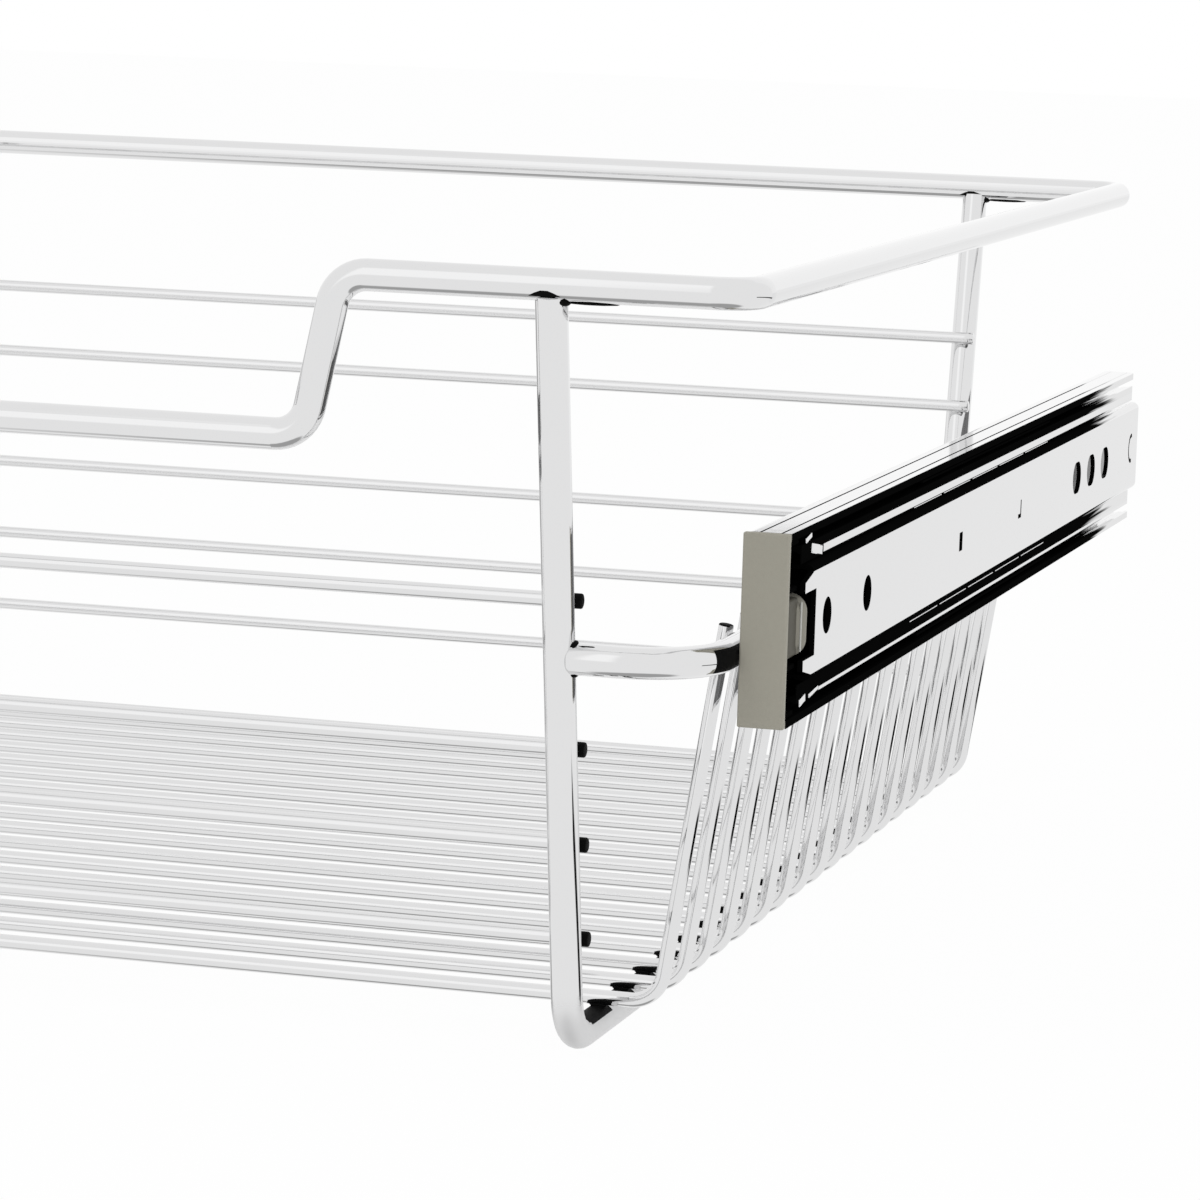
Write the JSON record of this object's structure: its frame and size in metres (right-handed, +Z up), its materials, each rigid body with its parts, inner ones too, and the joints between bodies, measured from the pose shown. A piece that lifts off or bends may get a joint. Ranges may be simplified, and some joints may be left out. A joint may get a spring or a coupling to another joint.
{
  "type": "pull out cabinet basket",
  "caption": "Chromed wire basket with a dipped front rim, hung between two full-extension ball-bearing slides that screw to a cabinet's side walls.",
  "frame": {"origin": "middle of the bounding box's bottom, under the basket's frame rods", "axes": "+X to the right across the cabinet, -Y to the front (the way the basket pulls out), +Z up"},
  "size_m": [0.6096, 0.489, 0.1875],
  "materials": {
    "chromed_rod": "bright",
    "chromed_wire": "bright",
    "plated_slide_sheet": "bright zinc or chrome plate",
    "cage_sheet": "bright",
    "ball_steel": "polished",
    "cap_plastic": "matte",
    "bumper_rubber": "satin"
  },
  "bodies": {
    "cabinet_members": {"cabinet_member_right": "plated_slide_sheet", "cabinet_member_left": "plated_slide_sheet"},
    "intermediate_members": {"intermediate_member_right": "plated_slide_sheet", "intermediate_member_left": "plated_slide_sheet"},
    "inner_cages": {"inner_cage_right": "cage_sheet", "inner_cage_left": "cage_sheet", "inner_balls_right": "ball_steel", "inner_balls_left": "ball_steel"},
    "outer_cages": {"outer_cage_right": "cage_sheet", "outer_cage_left": "cage_sheet", "outer_balls_right": "ball_steel", "outer_balls_left": "ball_steel"},
    "basket": {"rim_rod": "chromed_rod", "back_wire_1": "chromed_wire", "back_wire_2": "chromed_wire", "back_wire_3": "chromed_wire", "back_wire_4": "chromed_wire", "back_wire_5": "chromed_wire", "front_wire_1": "chromed_wire", "front_wire_2": "chromed_wire", "front_wire_3": "chromed_wire", "front_wire_4": "chromed_wire", "floor_wire_01": "chromed_wire", "floor_wire_02": "chromed_wire", "floor_wire_03": "chromed_wire", "floor_wire_04": "chromed_wire", "floor_wire_05": "chromed_wire", "floor_wire_06": "chromed_wire", "floor_wire_07": "chromed_wire", "floor_wire_08": "chromed_wire", "floor_wire_09": "chromed_wire", "floor_wire_10": "chromed_wire", "floor_wire_11": "chromed_wire", "floor_wire_12": "chromed_wire", "floor_wire_13": "chromed_wire", "floor_wire_14": "chromed_wire", "floor_wire_15": "chromed_wire", "floor_wire_16": "chromed_wire", "floor_wire_17": "chromed_wire", "floor_wire_18": "chromed_wire", "side_rod_right": "chromed_rod", "side_rod_left": "chromed_rod", "frame_rod_right": "chromed_rod", "frame_rod_left": "chromed_rod", "basket_channel_right": "plated_slide_sheet", "basket_channel_left": "plated_slide_sheet", "front_cap_right": "cap_plastic", "front_cap_left": "cap_plastic", "bumper_right": "bumper_rubber", "bumper_left": "bumper_rubber"}
  },
  "joints": [
    {"name": "basket_slide", "type": "slide", "parent": "cabinet_members", "child": "basket", "axis": [0, -1, 0], "range_m": [0, 0.45]},
    {"name": "intermediate_slide", "type": "slide", "parent": "cabinet_members", "child": "intermediate_members", "axis": [0, -1, 0], "range_m": [0, 0.225]},
    {"name": "inner_cage_slide", "type": "slide", "parent": "cabinet_members", "child": "inner_cages", "axis": [0, -1, 0], "range_m": [0, 0.1125]},
    {"name": "outer_cage_slide", "type": "slide", "parent": "cabinet_members", "child": "outer_cages", "axis": [0, -1, 0], "range_m": [0, 0.3375]}
  ],
  "couplings": [
    {"joint": "intermediate_slide", "follows": "basket_slide", "ratio": 0.5},
    {"joint": "inner_cage_slide", "follows": "basket_slide", "ratio": 0.25},
    {"joint": "outer_cage_slide", "follows": "basket_slide", "ratio": 0.75}
  ]
}
